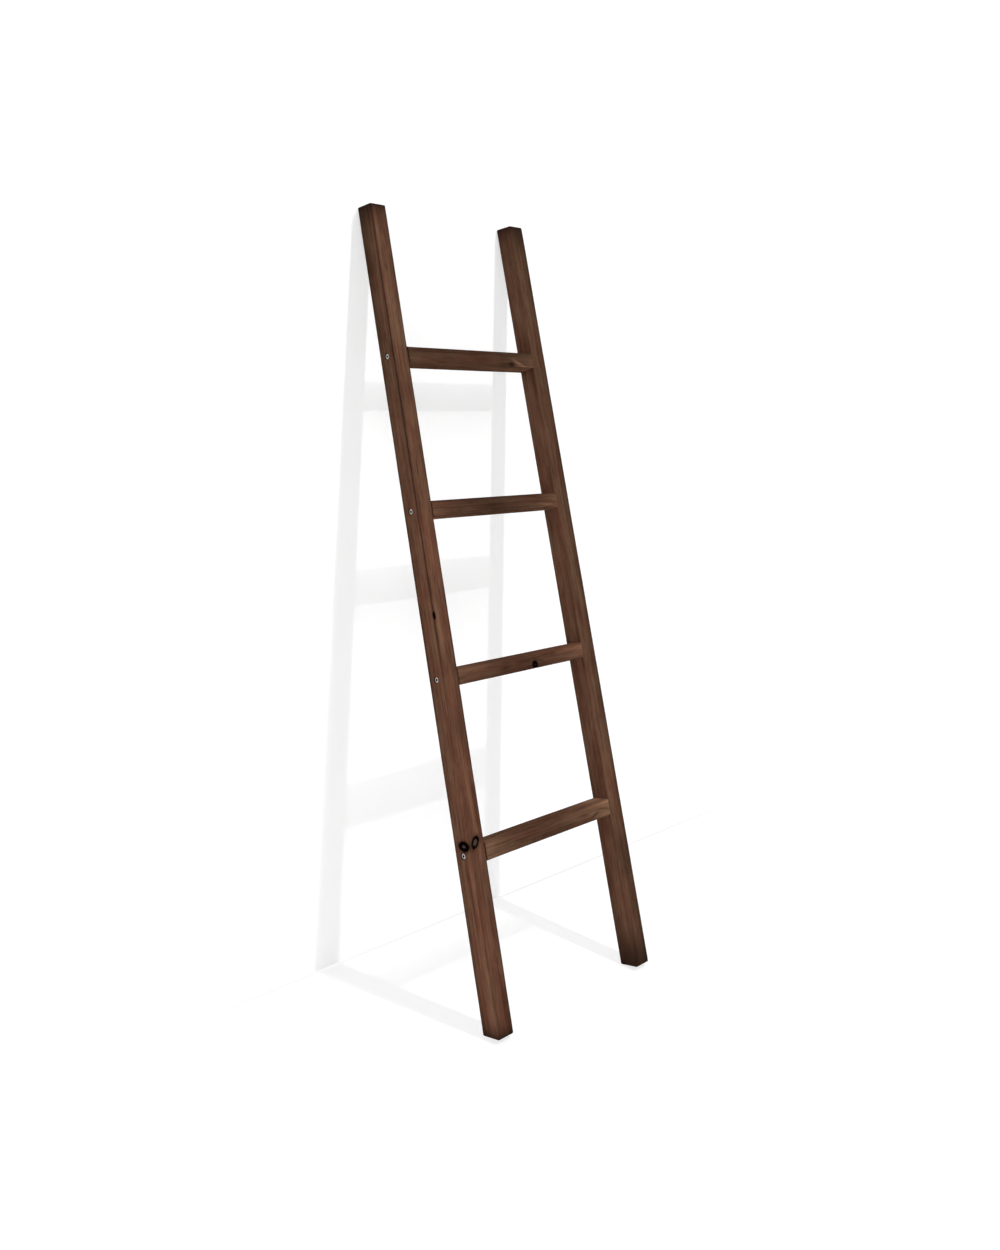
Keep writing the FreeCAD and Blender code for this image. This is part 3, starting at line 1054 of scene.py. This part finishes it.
def stage_white(name, look, values, one_sided=False):
    """White of the set: the given look to the camera and in mirrors, a plain matt white to other rays. A
    one-sided sheet lets the camera through from behind."""
    made, shader, add = material_nodes(name)
    feed(shader, {"Base Color": PLAIN_WHITE, "Roughness": 0.9, "Specular IOR Level": 0.0})
    rays = add("ShaderNodeLightPath").outputs
    mirrored = sums(add, "MAXIMUM", rays["Is Glossy Ray"], rays["Is Transmission Ray"])
    seen = sums(add, "MAXIMUM", rays["Is Camera Ray"], mirrored)
    last = add("ShaderNodeMixShader", {0: seen, 1: shader.outputs[0], 2: look(add, *values).outputs[0]})
    if one_sided:
        back = add("ShaderNodeNewGeometry").outputs["Backfacing"]
        behind = sums(add, "MULTIPLY", back, rays["Is Camera Ray"])
        clear = add("ShaderNodeBsdfTransparent")
        last = add("ShaderNodeMixShader", {0: behind, 1: last.outputs[0], 2: clear.outputs[0]})
    feed(made.node_tree.nodes["Material Output"], {"Surface": last.outputs[0]})
    return made


def sheet(name, low, high, material):
    """A flat sheet of the set: the rectangle along x between its low and its high corner."""
    (left, front, foot), (right, back, top) = low, high
    corners = [(left, front, foot), (right, front, foot), (right, back, top), (left, back, top)]
    mesh = bpy.data.meshes.new(name)
    mesh.from_pydata(corners, [], [(0, 1, 2, 3)])
    mesh.materials.append(material)
    made = put_object(name, mesh)


sheet("floor", (-FAR, -FAR, 0.0), (FAR, WALL_Y, 0.0), stage_white("floor_white", lit_paint, FLOOR_PAINT))
# A thin sheet glowing grey in the corner: painted shade where wall meets floor
sheet("corner_shade_line", (LINE_LEFT, WALL_Y - LINE_WIDTH, LINE_GAP), (LINE_RIGHT, WALL_Y - LINE_GAP, LINE_GAP),
      stage_white("corner_shade_grey", shade_line_glow, LINE_SHADE_GREY))
sheet("wall", (-FAR, WALL_Y, 0.0), (FAR, WALL_Y, FAR),
      stage_white("wall_white", lit_paint, WALL_PAINT, one_sided=True))


def lamp(name, kind, place, size, power):
    """A lamp: a small ball as bright far away as near, or a wide sun that shines from its place on the
    origin."""
    light = bpy.data.lights.new(name, kind)
    light.energy = power
    made = put_object(name, light)
    made.location = place
    if kind == "SUN":
        light.angle = size
        x, y, z = place
        made.rotation_euler = (math.atan2(math.hypot(x, y), z), 0.0, math.atan2(x, -y))
    else:
        light.shadow_soft_size = size
        light.use_nodes = True
        tree = light.node_tree
        even = node_maker(tree)("ShaderNodeLightFalloff", {"Strength": 1.0})
        feed(tree.nodes["Emission"], {"Strength": even.outputs["Constant"]})
    made.visible_camera = False


# The key lamp stands right of the camera; ever dimmer lamps above it draw the rungs' shadows out downwards.
# A wide sun lights the left faces, under an even sky
KEY_PLACE = (0.32, -1.51, 2.42)
KEY_POWER = 20.0
KEY_SHARE = 0.50
KEY_SIZE = 0.015
TAIL_STEP = 0.16
TAIL_SIZE = 0.05
TAIL_LAMPS = 10
TAIL_RATIO = 0.85
FILL_PLACE = (-0.86, -0.48, 0.16)
FILL_ANGLE = math.radians(70.0)
FILL_POWER = 1.04
AMBIENT = 0.40

tail = TAIL_RATIO ** np.arange(TAIL_LAMPS)
shares = np.append(KEY_SHARE, (1.0 - KEY_SHARE) * tail / tail.sum())
for number, share in enumerate(shares):
    place = (KEY_PLACE[0], KEY_PLACE[1], KEY_PLACE[2] + TAIL_STEP * number)
    lamp("key_lamp_%d" % number, "POINT", place, TAIL_SIZE if number else KEY_SIZE, KEY_POWER * share)
lamp("side_fill", "SUN", FILL_PLACE, FILL_ANGLE, FILL_POWER)

world = bpy.data.worlds.new("studio")
bpy.context.scene.world = world
world.use_nodes = True
sky = world.node_tree
add = node_maker(sky)
ambient = sky.nodes["Background"]
feed(ambient, {"Color": WHITE, "Strength": AMBIENT})
shown = add("ShaderNodeBackground", {"Color": WHITE, "Strength": 1.0})
seen = add("ShaderNodeLightPath").outputs["Is Camera Ray"]
pick = add("ShaderNodeMixShader", {0: seen, 1: ambient.outputs[0], 2: shown.outputs[0]})
feed(sky.nodes["World Output"], {"Surface": pick.outputs[0]})

camera_data = bpy.data.cameras.new("camera")
camera_data.lens = FOCAL_PIXELS / PICTURE_HEIGHT * camera_data.sensor_width
camera_data.shift_x = (PICTURE_WIDTH / 2.0 - AXIS_PIXEL_X) / PICTURE_HEIGHT
camera_data.shift_y = (AXIS_PIXEL_Y - PICTURE_HEIGHT / 2.0) / PICTURE_HEIGHT
camera = put_object("camera", camera_data)
camera.location = CAMERA_PLACE
camera.rotation_euler = (math.radians(90.0 + CAMERA_TILT), 0.0, math.radians(-CAMERA_HEADING))
bpy.context.scene.camera = camera
bpy.context.scene.view_settings.view_transform = "Standard"
